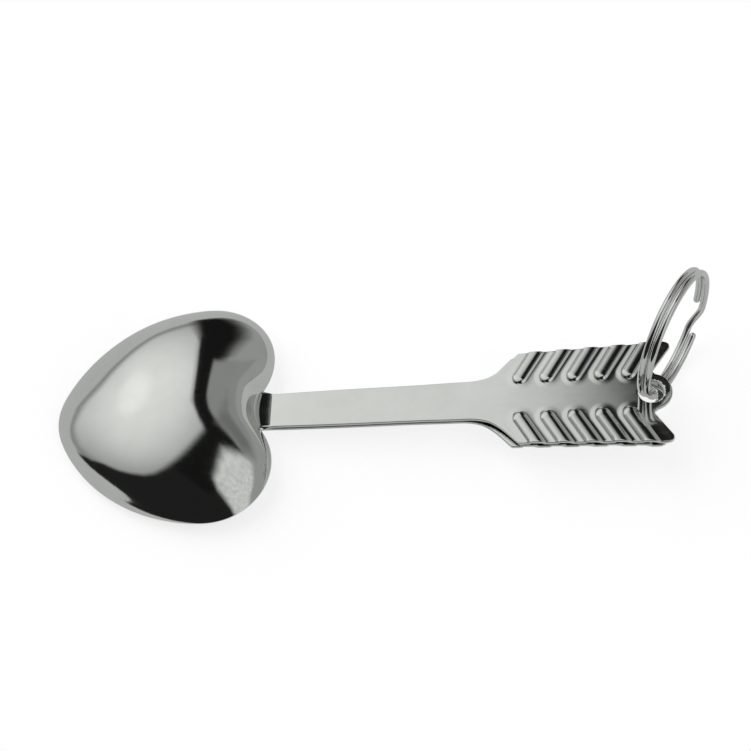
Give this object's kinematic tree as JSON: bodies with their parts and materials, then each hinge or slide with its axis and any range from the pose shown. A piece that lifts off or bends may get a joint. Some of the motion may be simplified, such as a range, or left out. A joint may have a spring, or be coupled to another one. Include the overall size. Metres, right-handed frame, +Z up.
{
  "type": "nested heart measuring spoons",
  "caption": "Nested heart-shaped measuring spoons with arrow-fletched handles on a split key ring, for measuring and scooping dry or liquid ingredients.",
  "frame": {"origin": "on the floor plane, under the centre of the set's bounding box", "axes": "+X along the handles from the bowls' tips to the ring, +Z up with the bowls lying open side down, +Y to the side on which the ring leans out"},
  "size_m": [0.1352, 0.0516, 0.028],
  "materials": {
    "large_steel": "polished with fine hairlines",
    "small_steel": "polished with fine hairlines",
    "ring_steel": "bright polished"
  },
  "bodies": {
    "large": {"large_spoon": "large_steel"},
    "small": {"small_spoon": "small_steel"},
    "ring": {"split_ring": "ring_steel"}
  },
  "joints": [
    {"name": "ring_swing", "type": "hinge", "parent": "large", "child": "ring", "pos_m": [0.05431, -0.00007, 0.00923], "axis": [-0.0632, 0, 0.998], "range_deg": [-90, 70]},
    {"name": "small_peel", "type": "hinge", "parent": "large", "child": "small", "pos_m": [0.05785, -0.00002, 0.00795], "axis": [0, -1, 0], "range_deg": [0, 14]}
  ]
}
